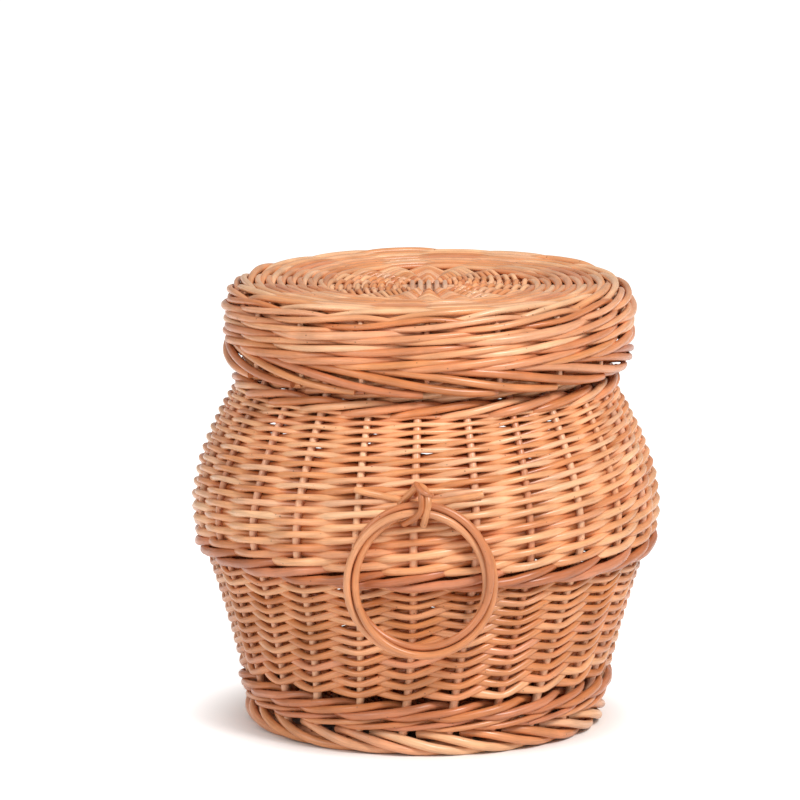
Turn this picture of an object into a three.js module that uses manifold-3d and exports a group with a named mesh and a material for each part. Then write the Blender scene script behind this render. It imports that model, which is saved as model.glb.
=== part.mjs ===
// A round lidded laundry hamper in buff willow, with two ring handles.
// Millimetres, +Z up. The origin is on the floor, under the middle of the foot, and the front is towards -Y.
// The woven work is drawn as plain shells and bands of its true outer size, with the stakes and sticks let in.

import * as THREE from 'three'
import { mergeVertices } from 'three/addons/utils/BufferGeometryUtils.js'
import Module from 'manifold-3d'

const wasm = await Module()
wasm.setup()

// Overall sizes of the body
const footRadius = 177
const wallFootRadius = 172
const waistRadius = 222
const bellyPull = 24
const shoulderPull = 29
const neckRadius = 181
const footHeight = 22
const waistHeight = 183
const neckHeight = 345
const lowerWallHollow = 9
const bellyRiseShare = 0.25
const shoulderRiseShare = 0.72

// The woven walls
const waleDepth = 3.5
const waleProud = 1
const footWaleHeight = 34
const waistWaleHeight = 17
const shoulderWaleHeight = 11
const shoulderWaleThickness = 7
const rimBorderHeight = 11
const rimBorderOverlap = 1
const footBorderWidth = 27
const borderRounding = 4

// The rods
const stakeCount = 24
const stakeTurnDegrees = -2.9
const stakeDiameter = 7.4
const weaverDiameter = 5.3
const stakeEndInset = 1.5
const stickDiameter = 7.6
const splitLift = 3.2
const splitLensLength = 62
const weaveDiscThickness = 13
const baseDisc = { throughSticks: 3, splitSticks: 3, crossRadius: 34 }
const lidDisc = { throughSticks: 4, splitSticks: 5, crossRadius: 36 }
const discEdgeInset = 4
const stickEaseShare = 0.35
const stickSpreadShare = 0.3

// The lid
const lidRadius = 200
const lidHeight = 88
const rimClearance = 18
const lidSideThickness = 13
const lidBorderHeight = 28
const lidBorderWidth = 16.5
const lidEdgeRadius = 13
const lidSideBulge = 2
const lidBorderTuck = 12

// The ring handles
const ringWidth = 144
const ringHeight = 151
const ringRodDiameter = 13.5
const ringPivotHeight = 251.5
const loopRodDiameter = 6
const loopDrop = 10.3
const loopBend = 8
const loopSeatDepth = 10
const crossbarRise = 15
const crossbarHalfAngleDegrees = 16

// Clearances and cuts
const fitGap = 0.3
const runningGap = 1
const cutOverrun = 5

// How finely round things are drawn
const rodSides = 6
const ringSides = 8
const ringSegments = 28
const lensSides = 8
const stakeSteps = 7
const lowerWallSteps = 3
const upperWallSteps = 5
const bendSteps = 3
const roundSteps = 3
const borderSteps = 1

const willow = { color: 0xd9935c, roughness: 0.55, metalness: 0 }
const paleWillow = { color: 0xe6ad79, roughness: 0.55, metalness: 0 }
const deepWillow = { color: 0xc57f49, roughness: 0.6, metalness: 0 }

const stakeTurn = THREE.MathUtils.degToRad(stakeTurnDegrees)
const wallThickness = stakeDiameter + 2 * weaverDiameter

const group = new THREE.Group()

// Adds one named piece with its own material.
function addPiece(name, geometry, finish) {
  const mesh = new THREE.Mesh(geometry, new THREE.MeshStandardMaterial(finish))
  mesh.name = name
  group.add(mesh)
  return mesh
}

// Turns a closed mesh into a solid that can be cut and joined.
function toSolid(geometry) {
  const bare = geometry.clone()
  bare.deleteAttribute('normal')
  bare.deleteAttribute('uv')
  const merged = mergeVertices(bare)
  const vertProperties = new Float32Array(merged.attributes.position.array)
  const triVerts = new Uint32Array(merged.index.array)
  return new wasm.Manifold(new wasm.Mesh({ numProp: 3, vertProperties, triVerts }))
}

// Turns a solid back into a mesh.
function toGeometry(solid) {
  const { vertProperties, triVerts } = solid.getMesh()
  const geometry = new THREE.BufferGeometry()
  geometry.setAttribute('position', new THREE.BufferAttribute(new Float32Array(vertProperties), 3))
  geometry.setIndex(new THREE.BufferAttribute(new Uint32Array(triVerts), 1))
  geometry.computeVertexNormals()
  return geometry
}

// A piece with the given solids cut out of it.
function cutAway(geometry, cutters) {
  return toGeometry(toSolid(geometry).subtract(wasm.Manifold.union(cutters)))
}

// A ring turned about the upright axis from a closed outline of [radius, height] points, outside edge first.
// Woven work runs nearly straight from stake to stake, so each ring has a corner at each stake.
function turned(outline) {
  const points = [...outline, outline[0]].map(([radius, height]) => new THREE.Vector2(radius, height))
  const geometry = new THREE.LatheGeometry(points, stakeCount)
  geometry.rotateX(Math.PI / 2)
  geometry.rotateZ(stakeTurn)
  return geometry
}

// A path that keeps its stations as given, so that a rod and its socket bend at the same places.
class StationPath extends THREE.Curve {
  constructor(stations) {
    super()
    this.stations = stations
  }

  getPoint(share) {
    const spans = this.stations.length - 1
    const span = Math.min(Math.floor(share * spans), spans - 1)
    return this.stations[span].clone().lerp(this.stations[span + 1], share * spans - span)
  }

  getPointAt(share) {
    return this.getPoint(share)
  }

  getTangentAt(share) {
    return this.getTangent(share)
  }
}

// A round rod along its stations.
function rod(stations, radius) {
  const section = new THREE.Shape()
  for (let side = 0; side < rodSides; side += 1) {
    const turn = (2 * Math.PI * side) / rodSides
    const corner = [radius * Math.cos(turn), radius * Math.sin(turn)]
    if (side === 0) section.moveTo(...corner)
    else section.lineTo(...corner)
  }
  section.closePath()
  const extrudePath = new StationPath(stations)
  return new THREE.ExtrudeGeometry(section, { steps: stations.length - 1, bevelEnabled: false, extrudePath })
}

// The same stations, carried on straight past both ends.
function overrunStations(stations, length) {
  const first = stations[0]
  const last = stations[stations.length - 1]
  const before = first.clone().sub(stations[1]).setLength(length).add(first)
  const after = last.clone().sub(stations[stations.length - 2]).setLength(length).add(last)
  return [before, ...stations, after]
}

// The outline of the walls: a slightly hollow flare up to the waist, then a full belly drawn in to the neck.
const lowerOutline = new THREE.QuadraticBezierCurve(
  new THREE.Vector2(wallFootRadius, 0),
  new THREE.Vector2((wallFootRadius + waistRadius) / 2 - lowerWallHollow, waistHeight / 2),
  new THREE.Vector2(waistRadius, waistHeight),
)
const upperRise = neckHeight - waistHeight
const upperOutline = new THREE.CubicBezierCurve(
  new THREE.Vector2(waistRadius, waistHeight),
  new THREE.Vector2(waistRadius + bellyPull, waistHeight + upperRise * bellyRiseShare),
  new THREE.Vector2(neckRadius + shoulderPull, waistHeight + upperRise * shoulderRiseShare),
  new THREE.Vector2(neckRadius, neckHeight),
)

// The walls' outer radius at a height.
function wallRadius(height) {
  if (height >= neckHeight) return neckRadius
  const outline = height < waistHeight ? lowerOutline : upperOutline
  let low = 0
  let high = 1
  while (high - low > Number.EPSILON) {
    const middle = (low + high) / 2
    if (middle === low || middle === high) break
    if (outline.getPoint(middle).y < height) low = middle
    else high = middle
  }
  return outline.getPoint(low).x
}

// Points up the wall's outline between two heights, moved out by an amount.
function wallPoints(low, high, steps, outset) {
  const points = []
  for (let step = 0; step <= steps; step += 1) {
    const height = low + ((high - low) * step) / steps
    points.push([wallRadius(height) + outset, height])
  }
  return points
}

// A closed outline from its outside, going up, and its inside, going up as well.
function bandOutline(outside, inside) {
  return [...outside, ...[...inside].reverse()]
}

// Heights where one piece ends and the next begins
const lidTopHeight = neckHeight + lidHeight
const rimHeight = lidTopHeight - weaveDiscThickness - rimClearance
const wallFoot = footHeight + fitGap
const footWaleTop = footHeight + footWaleHeight
const waistWaleLow = waistHeight - waistWaleHeight / 2
const waistWaleHigh = waistHeight + waistWaleHeight / 2
const shoulderWaleLow = neckHeight - shoulderWaleHeight
const wallTop = rimHeight - rimBorderHeight - fitGap

// Stakes: the upright rods in the middle of the walls
function stakeStations(angle) {
  const stations = []
  const low = wallFoot + stakeEndInset
  const high = wallTop - stakeEndInset
  for (let step = 0; step <= stakeSteps; step += 1) {
    const height = low + ((high - low) * step) / stakeSteps
    const radius = wallRadius(height) - wallThickness / 2
    stations.push(new THREE.Vector3(radius * Math.cos(angle), radius * Math.sin(angle), height))
  }
  return stations
}

const stakeSockets = []
for (let stake = 0; stake < stakeCount; stake += 1) {
  const angle = stakeTurn - Math.PI / 2 + (2 * Math.PI * stake) / stakeCount
  const stations = stakeStations(angle)
  addPiece(`stake_${String(stake + 1).padStart(2, '0')}`, rod(stations, stakeDiameter / 2), paleWillow)
  stakeSockets.push(toSolid(rod(overrunStations(stations, cutOverrun), stakeDiameter / 2 + fitGap)))
}

// Ring handles: a ring hanging in a loop of rod that is let into the wall, with a bar behind it
const ringHalfWidth = (ringWidth - ringRodDiameter) / 2
const ringHalfHeight = (ringHeight - ringRodDiameter) / 2

// How far forward the wall comes behind the hanging ring.
function wallReachBehindRing() {
  let reach = 0
  for (let step = 0; step <= ringSegments; step += 1) {
    const turn = (Math.PI * step) / ringSegments
    const aside = ringHalfWidth * Math.sin(turn)
    const radius = wallRadius(ringPivotHeight - ringHalfHeight * (1 - Math.cos(turn)))
    reach = Math.max(reach, Math.sqrt(radius * radius - aside * aside))
  }
  return reach
}

// An upright ring, a little taller than wide, hanging down from its pivot.
function hangingRing() {
  const ring = new THREE.TorusGeometry(ringHalfWidth, ringRodDiameter / 2, ringSides, ringSegments)
  const position = ring.attributes.position
  for (let corner = 0; corner < position.count; corner += 1) {
    const upShare = position.getY(corner) / Math.hypot(position.getX(corner), position.getY(corner))
    position.setY(corner, position.getY(corner) + (ringHalfHeight - ringHalfWidth) * upShare)
  }
  ring.rotateX(Math.PI / 2)
  ring.translate(0, -ringStandOff, ringPivotHeight - ringHalfHeight)
  return ring
}

const ringStandOff = wallReachBehindRing() + ringRodDiameter / 2 + runningGap
const crossbarHeight = ringPivotHeight + crossbarRise
const loopTopHeight = crossbarHeight + loopRodDiameter + fitGap
const loopBottomHeight = ringPivotHeight - loopDrop
const loopOuterReach = ringStandOff + ringRodDiameter / 2 + runningGap + loopRodDiameter / 2

// Stations round one bend of the loop, from a turn to a turn in the upright plane.
function loopBendStations(reach, height, fromTurn) {
  const stations = []
  for (let step = 0; step <= bendSteps; step += 1) {
    const turn = fromTurn - (Math.PI / 2) * (step / bendSteps)
    stations.push(new THREE.Vector3(0, -(reach + loopBend * Math.cos(turn)), height + loopBend * Math.sin(turn)))
  }
  return stations
}

// Stations of the whole loop, from its upper seat in the wall round to its lower one.
function loopStations() {
  const reach = loopOuterReach - loopBend
  const upperSeat = new THREE.Vector3(0, -(wallRadius(loopTopHeight) - loopSeatDepth), loopTopHeight)
  const lowerSeat = new THREE.Vector3(0, -(wallRadius(loopBottomHeight) - loopSeatDepth), loopBottomHeight)
  return [
    upperSeat,
    ...loopBendStations(reach, loopTopHeight - loopBend, Math.PI / 2),
    ...loopBendStations(reach, loopBottomHeight + loopBend, 0),
    lowerSeat,
  ]
}

// Stations of the bar that lies along the wall behind the loop.
function crossbarStations() {
  const stations = []
  const radius = wallRadius(crossbarHeight - loopRodDiameter / 2) + fitGap + loopRodDiameter / 2
  const halfAngle = THREE.MathUtils.degToRad(crossbarHalfAngleDegrees)
  const steps = 2 * bendSteps
  for (let step = 0; step <= steps; step += 1) {
    const angle = -Math.PI / 2 - halfAngle + (2 * halfAngle * step) / steps
    stations.push(new THREE.Vector3(radius * Math.cos(angle), radius * Math.sin(angle), crossbarHeight))
  }
  return stations
}

const loopSockets = []
for (const [side, turn] of [['front', 0], ['back', Math.PI]]) {
  const ring = hangingRing()
  const loop = rod(loopStations(), loopRodDiameter / 2)
  const loopSocket = rod(overrunStations(loopStations(), fitGap), loopRodDiameter / 2 + fitGap)
  const crossbar = rod(crossbarStations(), loopRodDiameter / 2)
  for (const geometry of [ring, loop, loopSocket, crossbar]) geometry.rotateZ(turn)
  addPiece(`ring_handle_${side}`, ring, willow)
  addPiece(`handle_loop_${side}`, loop, deepWillow)
  addPiece(`handle_crossbar_${side}`, crossbar, willow)
  loopSockets.push(toSolid(loopSocket))
}

// The lower wall, with a seat for the foot wale and half of the one for the waist wale
const lowerOutside = [
  ...wallPoints(wallFoot, footWaleTop + fitGap, 1, -waleDepth - fitGap),
  ...wallPoints(footWaleTop + fitGap, waistWaleLow - fitGap, lowerWallSteps, 0),
  ...wallPoints(waistWaleLow - fitGap, waistHeight - fitGap / 2, 1, -waleDepth - fitGap),
]
const lowerInside = wallPoints(wallFoot, waistHeight - fitGap / 2, lowerWallSteps, -wallThickness)
addPiece('lower_siding', cutAway(turned(bandOutline(lowerOutside, lowerInside)), stakeSockets), willow)

// The upper wall, from the waist round the belly to the shoulder
const upperOutside = [
  ...wallPoints(waistHeight + fitGap / 2, waistWaleHigh + fitGap, 1, -waleDepth - fitGap),
  ...wallPoints(waistWaleHigh + fitGap, neckHeight - fitGap / 2, upperWallSteps, 0),
]
const upperInside = wallPoints(waistHeight + fitGap / 2, neckHeight - fitGap / 2, upperWallSteps, -wallThickness)
const upperCutters = [...stakeSockets, ...loopSockets]
addPiece('upper_siding', cutAway(turned(bandOutline(upperOutside, upperInside)), upperCutters), willow)

// The upright neck, which the lid covers
const neckOutline = bandOutline(
  wallPoints(neckHeight + fitGap / 2, wallTop, 1, 0),
  wallPoints(neckHeight + fitGap / 2, wallTop, 1, -wallThickness),
)
addPiece('neck_siding', cutAway(turned(neckOutline), stakeSockets), willow)

// Wales: thick bands round the walls
const footWaleOutline = bandOutline(
  wallPoints(wallFoot, footWaleTop, 2, waleProud),
  wallPoints(wallFoot, footWaleTop, 2, -waleDepth),
)
addPiece('foot_wale', turned(footWaleOutline), deepWillow)

const waistWaleOutline = bandOutline(
  [
    [wallRadius(waistWaleLow) + waleProud, waistWaleLow],
    [wallRadius(waistHeight) + 2 * waleProud, waistHeight],
    [wallRadius(waistWaleHigh) + waleProud, waistWaleHigh],
  ],
  wallPoints(waistWaleLow, waistWaleHigh, 2, -waleDepth),
)
addPiece('waist_wale', turned(waistWaleOutline), deepWillow)

const shoulderWaleOutline = bandOutline(
  [
    [wallRadius(shoulderWaleLow) + fitGap + shoulderWaleThickness / 2, shoulderWaleLow],
    [wallRadius(shoulderWaleLow) + fitGap + shoulderWaleThickness / 2, neckHeight - shoulderWaleHeight / 2],
    [neckRadius + fitGap + shoulderWaleThickness, neckHeight - fitGap],
  ],
  wallPoints(shoulderWaleLow, neckHeight - fitGap, 2, fitGap),
)
addPiece('shoulder_wale', turned(shoulderWaleOutline), deepWillow)

// Borders: the rolled edges at the foot and at the rim
function borderOutline(outer, inner, low, high) {
  const corners = [
    [outer - borderRounding, low + borderRounding, -Math.PI / 2],
    [outer - borderRounding, high - borderRounding, 0],
    [inner + borderRounding, high - borderRounding, Math.PI / 2],
    [inner + borderRounding, low + borderRounding, Math.PI],
  ]
  const outline = []
  for (const [radius, height, fromTurn] of corners) {
    for (let step = 0; step <= borderSteps; step += 1) {
      const turn = fromTurn + (Math.PI / 2) * (step / borderSteps)
      outline.push([radius + borderRounding * Math.cos(turn), height + borderRounding * Math.sin(turn)])
    }
  }
  return outline
}
addPiece('foot_border', turned(borderOutline(footRadius, footRadius - footBorderWidth, 0, footHeight)), willow)

const rimOuter = neckRadius + rimBorderOverlap
const rimInner = neckRadius - wallThickness - rimBorderOverlap
addPiece('rim_border', turned(borderOutline(rimOuter, rimInner, wallTop + fitGap, rimHeight)), willow)

// Sticks: rods through the middle of a woven disc, straight where they cross and then fanned out like spokes
const stickPitch = stickDiameter + fitGap

// Stations of one of several sticks side by side, along X, from one end round its bends to the other.
function stickStations(index, count, crossedCount, reach, height) {
  const aside = (index - (count - 1) / 2) * stickPitch
  const fan = (index - (count - 1) / 2) * (Math.PI / (count + crossedCount))
  const straightHalf = (crossedCount * stickPitch) / 2
  const end = new THREE.Vector3(reach * Math.cos(fan), reach * Math.sin(fan), height)
  const bend = new THREE.Vector3(straightHalf + stickPitch, aside, height)
  const eased = bend.clone().lerp(end, stickEaseShare)
  eased.y = bend.y + (end.y - bend.y) * stickSpreadShare
  const half = [bend, eased, end]
  const mirrored = half.map((station) => new THREE.Vector3(-station.x, station.y, station.z))
  return [...mirrored.reverse(), ...half]
}

// The lens of a split stick: its two halves, opened above and below the sticks that pass through.
function splitStick(stations, crossedCount) {
  const lens = new THREE.SphereGeometry(1, lensSides, lensSides / 2)
  const aside = stations[stations.length / 2].y
  lens.scale(splitLensLength / 2, stickDiameter / 2, stickDiameter / 2 + splitLift)
  lens.translate(0, aside, stations[0].z)
  const slotLength = crossedCount * stickPitch + fitGap
  const slot = new THREE.BoxGeometry(slotLength, 2 * stickDiameter, stickDiameter + 2 * fitGap)
  slot.translate(0, aside, stations[0].z)
  return toGeometry(toSolid(rod(stations, stickDiameter / 2)).add(toSolid(lens)).subtract(toSolid(slot)))
}

// A woven disc on its sticks, at a height.
function wovenDisc(prefix, weaveName, disc, radius, low) {
  const height = low + weaveDiscThickness / 2
  const reach = radius - discEdgeInset
  const sockets = []
  for (let index = 0; index < disc.throughSticks; index += 1) {
    const stations = stickStations(index, disc.throughSticks, disc.splitSticks, reach, height)
    addPiece(`${prefix}_through_stick_${index + 1}`, rod(stations, stickDiameter / 2), paleWillow)
    sockets.push(toSolid(rod(overrunStations(stations, fitGap), stickDiameter / 2 + fitGap)))
  }
  for (let index = 0; index < disc.splitSticks; index += 1) {
    const stations = stickStations(index, disc.splitSticks, disc.throughSticks, reach, height)
    const stick = splitStick(stations, disc.throughSticks)
    const socket = rod(overrunStations(stations, fitGap), stickDiameter / 2 + fitGap)
    stick.rotateZ(Math.PI / 2)
    socket.rotateZ(Math.PI / 2)
    addPiece(`${prefix}_split_stick_${index + 1}`, stick, paleWillow)
    sockets.push(toSolid(socket))
  }
  const weave = turned([
    [radius, low],
    [radius, low + weaveDiscThickness],
    [disc.crossRadius, low + weaveDiscThickness],
    [disc.crossRadius, low],
  ])
  addPiece(weaveName, cutAway(weave, sockets), willow)
}

const baseRadius = wallRadius(wallFoot) - wallThickness - fitGap
wovenDisc('base', 'base_weave', baseDisc, baseRadius, wallFoot)

// The lid: a woven disc in a woven side with a rounded edge, and a border that rests on the shoulder wale
const lidLow = neckHeight
const lidSideLow = lidLow + lidBorderHeight
const lidInnerRadius = lidRadius - lidSideThickness
const lidDiscLow = lidTopHeight - weaveDiscThickness
wovenDisc('lid', 'lid_top_weave', lidDisc, lidInnerRadius - fitGap, lidDiscLow)

const lidEdgeHeight = lidTopHeight - lidEdgeRadius
const lidOutside = [
  [lidRadius - lidSideBulge, lidSideLow],
  [lidRadius, (lidSideLow + lidEdgeHeight) / 2],
]
for (let step = 0; step <= roundSteps; step += 1) {
  const turn = (Math.PI / 2) * (step / roundSteps)
  const edgeRadius = lidRadius - lidSideBulge / 2 - lidEdgeRadius
  lidOutside.push([edgeRadius + lidEdgeRadius * Math.cos(turn), lidEdgeHeight + lidEdgeRadius * Math.sin(turn)])
}
lidOutside.pop()
const lidInside = [
  [lidInnerRadius, lidSideLow],
  [lidInnerRadius, lidTopHeight],
]
addPiece('lid_side_weave', turned(bandOutline(lidOutside, lidInside)), willow)

const lidBorderOuter = lidRadius + waleProud
const lidBorderInner = lidBorderOuter - lidBorderWidth
const lidBorderTop = lidSideLow - fitGap
const lidBorderOutline = [
  [lidBorderOuter - lidBorderTuck, lidLow],
  [lidBorderOuter - lidBorderTuck / 3, lidLow + lidBorderHeight / 4],
  [lidBorderOuter, lidLow + lidBorderHeight / 2],
  [lidBorderOuter, lidBorderTop],
  [lidBorderInner, lidBorderTop],
  [lidBorderInner, lidLow],
]
addPiece('lid_border', turned(lidBorderOutline), deepWillow)

export default group
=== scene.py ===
"""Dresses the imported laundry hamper: its willow woven rod by rod, with the floor, the light and the camera.

Lengths are metres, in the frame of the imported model: +Z is up and the front is towards -Y.
"""

import logging
import math
from collections.abc import Iterable, Mapping, Sequence
from dataclasses import dataclass, replace
from enum import Enum
from functools import cached_property

import bpy
import numpy as np
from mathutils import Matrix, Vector


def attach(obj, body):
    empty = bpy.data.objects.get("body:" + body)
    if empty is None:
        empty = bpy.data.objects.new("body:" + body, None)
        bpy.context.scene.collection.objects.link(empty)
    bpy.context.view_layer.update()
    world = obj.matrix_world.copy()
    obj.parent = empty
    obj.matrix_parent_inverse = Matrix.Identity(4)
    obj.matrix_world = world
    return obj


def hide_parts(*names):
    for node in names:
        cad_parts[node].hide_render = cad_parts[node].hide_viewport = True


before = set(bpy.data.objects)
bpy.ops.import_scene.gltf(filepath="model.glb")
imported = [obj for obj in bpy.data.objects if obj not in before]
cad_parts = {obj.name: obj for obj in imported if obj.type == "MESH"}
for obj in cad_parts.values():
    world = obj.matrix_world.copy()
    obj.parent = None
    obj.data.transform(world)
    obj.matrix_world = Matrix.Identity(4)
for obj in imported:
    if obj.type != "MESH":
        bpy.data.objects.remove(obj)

LOG = logging.getLogger("hamper")
MM = 0.001

# The stakes of the basket and the spokes of its lid, and how far the first stake stands from the front
STAKE_COUNT = 24
LID_SPOKE_COUNT = 18
STAKE_TURN = math.radians(-2.9)

# Points on a rod for each stake that it passes, and the stakes' radius as the rods feel it
STEPS_PER_PITCH = 10
STAKE_RADIUS = 3.7 * MM

# Where the line of a disc ends, just short of its middle
HUB = 1 * MM

# The part of a noise texture's range that shows as pattern
NOISE_RANGE = (0.3, 0.7)

Socket = bpy.types.NodeSocket


def add_node(
    tree: bpy.types.NodeTree,
    kind: str,
    inputs: Mapping[str | int, object] | None = None,
    **settings: object,
) -> bpy.types.Node:
    """Adds one node with its settings, its values and its links.

    Args:
        tree: The node tree that takes the node.
        kind: The node's type name.
        inputs: A value or a linked output for each input socket, by name or number.
        **settings: The node's own properties.

    Returns:
        The new node.
    """
    node = tree.nodes.new(kind)
    for name, value in settings.items():
        setattr(node, name, value)
    for socket, source in (inputs or {}).items():
        if isinstance(source, bpy.types.NodeSocket):
            tree.links.new(source, node.inputs[socket])
        else:
            node.inputs[socket].default_value = source
    return node


def ranged(
    tree: bpy.types.NodeTree, source: Socket, given: tuple[float, float], wanted: tuple[float, float]
) -> Socket:
    """Maps a value from one range to another.

    Args:
        tree: The node tree.
        source: The value.
        given: The range that it comes in.
        wanted: The range that it leaves in.

    Returns:
        The mapped value.
    """
    bounds = dict(zip(("From Min", "From Max", "To Min", "To Max"), (*given, *wanted)))
    return add_node(tree, "ShaderNodeMapRange", {0: source, **bounds}).outputs[0]


def reckoned(tree: bpy.types.NodeTree, operation: str, first: Socket, second: Socket | float) -> Socket:
    """Works one value out from two."""
    return add_node(tree, "ShaderNodeMath", {0: first, 1: second}, operation=operation).outputs[0]


def scaled(tree: bpy.types.NodeTree, vector: Socket, factor: Socket | float) -> Socket:
    """Scales a vector, or a colour taken as one."""
    return add_node(tree, "ShaderNodeVectorMath", {0: vector, "Scale": factor}, operation="SCALE").outputs[0]


def tinted(tree: bpy.types.NodeTree, share: Socket, base: Socket, code: str) -> Socket:
    """Mixes a hex colour into another colour."""
    tint = {0: share, 6: base, 7: linear_colour(code)}
    return add_node(tree, "ShaderNodeMix", tint, data_type="RGBA").outputs[2]


def linear_colour(code: str) -> tuple[float, float, float, float]:
    """Turns an sRGB hex colour into the linear colour that a shader takes.

    Args:
        code: The colour as "#rrggbb".

    Returns:
        Red, green, blue and alpha, linear.
    """
    channels = [int(code[place : place + 2], 16) / 255 for place in (1, 3, 5)]
    linear = [c / 12.92 if c <= 0.04045 else ((c + 0.055) / 1.055) ** 2.4 for c in channels]
    return (*linear, 1.0)


@dataclass(frozen=True)
class WillowFinish:
    """Buff willow: rods boiled in their bark and then peeled, which dyes them orange and leaves a satin skin.

    Each rod keeps its own colour, from pale peach to deep orange. The skin has fine streaks along the rod,
    soft mottling, a few dark specks where buds were, and a low sheen that lifts the round of each rod.
    """

    name: str
    pale: str = "#f8c89b"
    fair: str = "#ebaa77"
    warm: str = "#dd915a"
    deep: str = "#c4703a"
    blush: str = "#d8927a"
    speck: str = "#5f2f18"
    blush_share: float = 0.45
    roughness: float = 0.31
    streak_width: float = 0.9 * MM
    streak_length: float = 16 * MM
    mottle_size: float = 34 * MM
    speck_spacing: float = 11 * MM
    speck_size: float = 0.55 * MM
    speck_share: float = 0.8
    streak_light: tuple[float, float] = (0.84, 1.1)
    mottle_light: tuple[float, float] = (0.84, 1.12)
    sheen: tuple[float, float] = (0.08, -0.06)
    bump_height: float = 0.25 * MM
    bump_strength: float = 0.35
    section_size: float = 3 * MM

    def material(self) -> bpy.types.Material:
        """Builds the material.

        Returns:
            The material, for rods that carry the attributes of RodSweep.
        """
        material = bpy.data.materials.new(self.name)
        material.use_nodes = True
        tree = material.node_tree
        shader = tree.nodes["Principled BSDF"]
        tone = add_node(tree, "ShaderNodeAttribute", attribute_name="tone")
        ramp = add_node(tree, "ShaderNodeValToRGB", {0: tone.outputs["Fac"]})
        elements = ramp.color_ramp.elements
        elements[0].color, elements[1].color = linear_colour(self.pale), linear_colour(self.deep)
        for stop, code in ((0.35, self.fair), (0.7, self.warm)):
            elements.new(stop).color = linear_colour(code)
        blush = add_node(tree, "ShaderNodeAttribute", attribute_name="blush")
        rosy = reckoned(tree, "MULTIPLY", blush.outputs["Fac"], self.blush_share)
        colour = tinted(tree, rosy, ramp.outputs["Color"], self.blush)
        place = add_node(tree, "ShaderNodeTexCoord").outputs["Object"]
        clouds = {"Vector": place, "Scale": 1 / self.mottle_size, "Detail": 3.0}
        mottle = add_node(tree, "ShaderNodeTexNoise", clouds)
        streaks = self._streaks(tree)
        for pattern, light in ((streaks, self.streak_light), (mottle.outputs[0], self.mottle_light)):
            colour = scaled(tree, colour, ranged(tree, pattern, NOISE_RANGE, light))
        cells = add_node(tree, "ShaderNodeTexVoronoi", {"Vector": place, "Scale": 1 / self.speck_spacing})
        size = self.speck_size / self.speck_spacing
        specks = ranged(tree, cells.outputs["Distance"], (0.5 * size, 2 * size), (self.speck_share, 0.0))
        tree.links.new(tinted(tree, specks, colour, self.speck), shader.inputs["Base Color"])
        dull, glossy = (self.roughness + step for step in self.sheen)
        tree.links.new(ranged(tree, streaks, NOISE_RANGE, (dull, glossy)), shader.inputs["Roughness"])
        grain = {"Height": streaks, "Strength": self.bump_strength, "Distance": self.bump_height}
        tree.links.new(add_node(tree, "ShaderNodeBump", grain).outputs[0], shader.inputs["Normal"])
        return material

    def _streaks(self, tree: bpy.types.NodeTree) -> bpy.types.NodeSocket:
        """Makes the fine streaks that run along a rod.

        Args:
            tree: The material's node tree.

        Returns:
            The streaks as a value around a half.
        """
        section = add_node(tree, "ShaderNodeAttribute", attribute_name="section")
        along = add_node(tree, "ShaderNodeAttribute", attribute_name="along")
        width = scaled(tree, section.outputs["Vector"], self.section_size / self.streak_width)
        length = reckoned(tree, "MULTIPLY", along.outputs["Fac"], 1 / self.streak_length)
        drawn = add_node(tree, "ShaderNodeCombineXYZ", {2: length})
        place = add_node(tree, "ShaderNodeVectorMath", {0: width, 1: drawn.outputs[0]}, operation="ADD")
        noise = {"Vector": place.outputs[0], "Scale": 1.0, "Detail": 4.0}
        return add_node(tree, "ShaderNodeTexNoise", noise).outputs[0]


class Finish(Enum):
    """The finishes of the rods, by the colour of their bundle; the shaded one is the plain willow painted
    browner, as painted shade.
    """

    WILLOW = "willow"
    PALE = "pale_willow"
    SHADED = "shaded_willow"
    DEEP = "deep_willow"

    @property
    def slot(self) -> str:
        """The record's slot that the finish fills: the shaded rods are plain willow, painted browner as painted
        shade.
        """
        return Finish.WILLOW.value if self is Finish.SHADED else self.value


@dataclass
class Rod:
    """One willow rod: the points along its middle, its radius and tone at each, and how rosy it is."""

    points: np.ndarray
    radius: np.ndarray
    tones: np.ndarray
    blush: float


class RodMaker:
    """Cuts rods of mixed colour from a seeded bundle."""

    TONE_SPREAD = (2.0, 2.4)
    BLUSH_SPREAD = (1.2, 2.6)
    DEEP_STEP = 0.3
    CUT_LENGTH = 0.03
    CUT_TONE = -0.5

    def __init__(self, seed: int, deep: float = 0.0) -> None:
        """Opens a bundle.

        Args:
            seed: The bundle's own number, which fixes every draw.
            deep: How far the bundle leans to deep orange, from -1 to 1.
        """
        self.draw = np.random.default_rng(seed)
        self.deep = deep

    def rod(self, points: np.ndarray, radius: np.ndarray | float, cut: bool = False) -> Rod:
        """Makes one rod with a colour of its own.

        Args:
            points: The points along its middle.
            radius: Its radius, at each point or all along.
            cut: Whether its ends show, cut straight through to the pale wood.

        Returns:
            The rod.
        """
        tone = float(np.clip(self.draw.beta(*self.TONE_SPREAD) + self.DEEP_STEP * self.deep, 0.0, 1.0))
        blush = float(self.draw.beta(*self.BLUSH_SPREAD))
        radii = np.broadcast_to(radius, len(points)).astype(float)
        tones = np.full(len(points), tone)
        if cut:
            first = points[0] + self.CUT_LENGTH * (points[0] - points[1])
            last = points[-1] + self.CUT_LENGTH * (points[-1] - points[-2])
            points = np.vstack([first, points, last])
            radii = np.concatenate([[radii[0]], radii, [radii[-1]]])
            tones = np.concatenate([[self.CUT_TONE], tones, [self.CUT_TONE]])
        return Rod(points, radii, tones, blush)


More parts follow.
